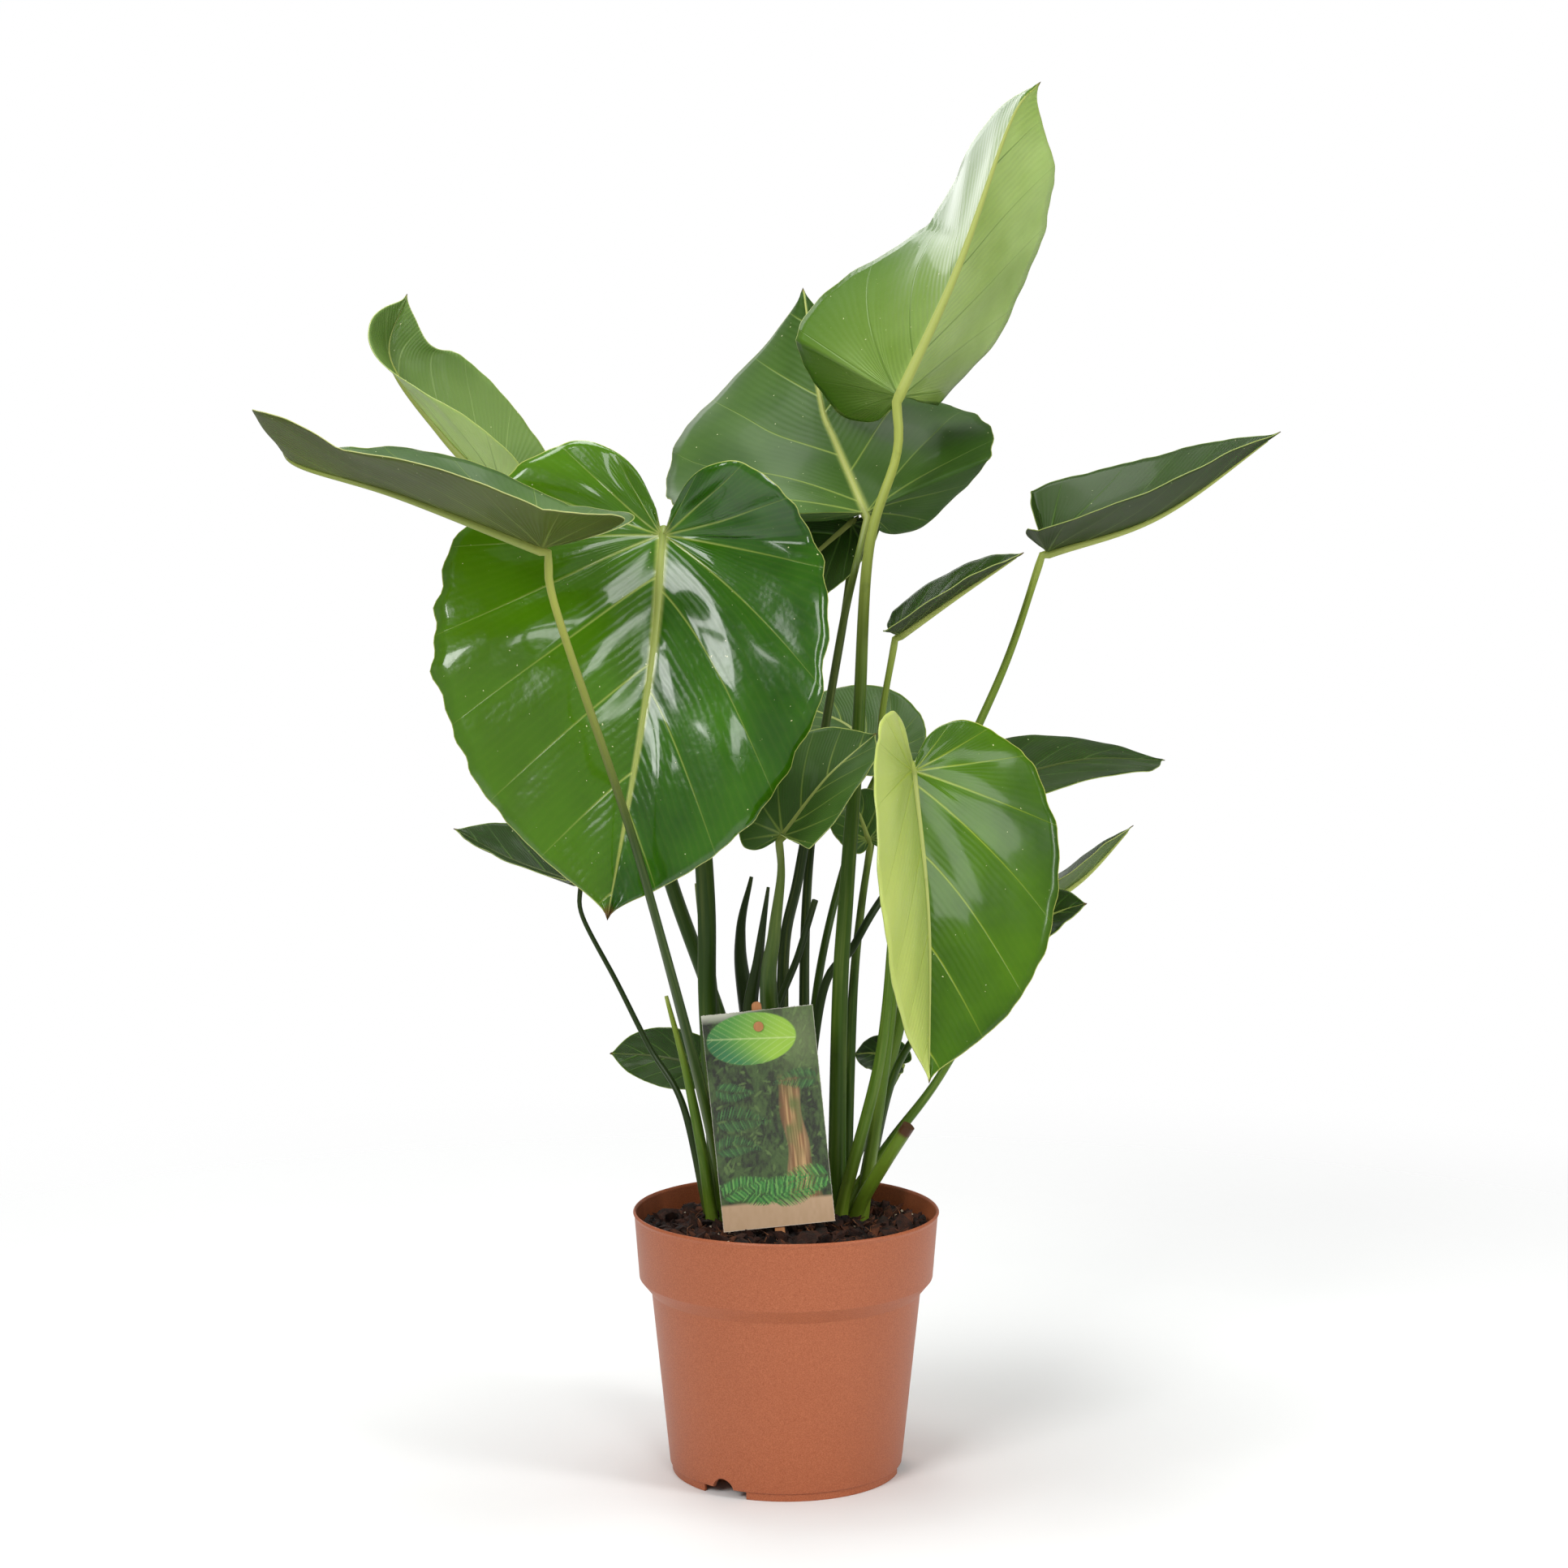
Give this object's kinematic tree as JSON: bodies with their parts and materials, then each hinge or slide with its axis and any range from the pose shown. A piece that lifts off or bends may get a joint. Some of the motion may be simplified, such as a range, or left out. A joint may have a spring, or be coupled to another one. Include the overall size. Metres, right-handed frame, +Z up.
{
  "type": "potted monstera plant",
  "caption": "Houseplant with broad heart-shaped and folded leaves on long arching stalks, growing from soil in a round stepped plastic nursery pot with a care label on a stick.",
  "frame": {"origin": "centre of the footprint on the surface that the pot stands on, under the pot's own axis", "axes": "+Z up along the pot's axis; -Y is the side of the label and the large glossy leaf; +X is to the viewer's right from there"},
  "size_m": [0.5981, 0.4494, 0.847],
  "materials": {
    "pot_plastic": "satin terracotta-coloured plastic with fine speckle",
    "soil_mix": "damp bark and coir mix, matte",
    "stalk_green": "smooth fleshy stem, satin",
    "leaf_green": "waxy leaf, glossy",
    "label_card": "printed card, satin",
    "label_wood": "plain pale wood"
  },
  "bodies": {
    "root": {"pot": "pot_plastic", "soil": "soil_mix", "crown_left_front": "stalk_green", "crown_left_back": "stalk_green", "crown_centre": "stalk_green", "crown_centre_back": "stalk_green", "crown_right_front": "stalk_green", "crown_right_back": "stalk_green", "stalk_01": "stalk_green", "stalk_02": "stalk_green", "stalk_03": "stalk_green", "stalk_04": "stalk_green", "stalk_05": "stalk_green", "stalk_06": "stalk_green", "stalk_07": "stalk_green", "stalk_08": "stalk_green", "stalk_09": "stalk_green", "stalk_10": "stalk_green", "stalk_11": "stalk_green", "stalk_12": "stalk_green", "stalk_13": "stalk_green", "stalk_14": "stalk_green", "stalk_15": "stalk_green", "stalk_16": "stalk_green", "stalk_17": "stalk_green", "stalk_18": "stalk_green", "sheath_left": "stalk_green", "stub_left": "stalk_green", "sheath_centre": "stalk_green", "stub_centre": "stalk_green", "bract_centre": "stalk_green", "cut_stub_right": "stalk_green", "leaf_01_front_large": "leaf_green", "leaf_02_left_low": "leaf_green", "leaf_03_left_high": "leaf_green", "leaf_04_centre_back": "leaf_green", "leaf_05_top": "leaf_green", "leaf_06_behind": "leaf_green", "leaf_07_right_high": "leaf_green", "leaf_08_right_small": "leaf_green", "leaf_09_bright": "leaf_green", "leaf_10_centre_small": "leaf_green", "leaf_11_centre_far": "leaf_green", "leaf_12_right_back": "leaf_green", "leaf_13_right_narrow": "leaf_green", "leaf_14_right_low": "leaf_green", "leaf_15_left_back": "leaf_green", "leaf_16_left_bottom": "leaf_green", "leaf_17_right_bottom": "leaf_green", "leaf_18_centre_behind": "leaf_green", "label_card": "label_card", "label_stick": "label_wood", "label_peg": "label_wood"}
  },
  "joints": []
}
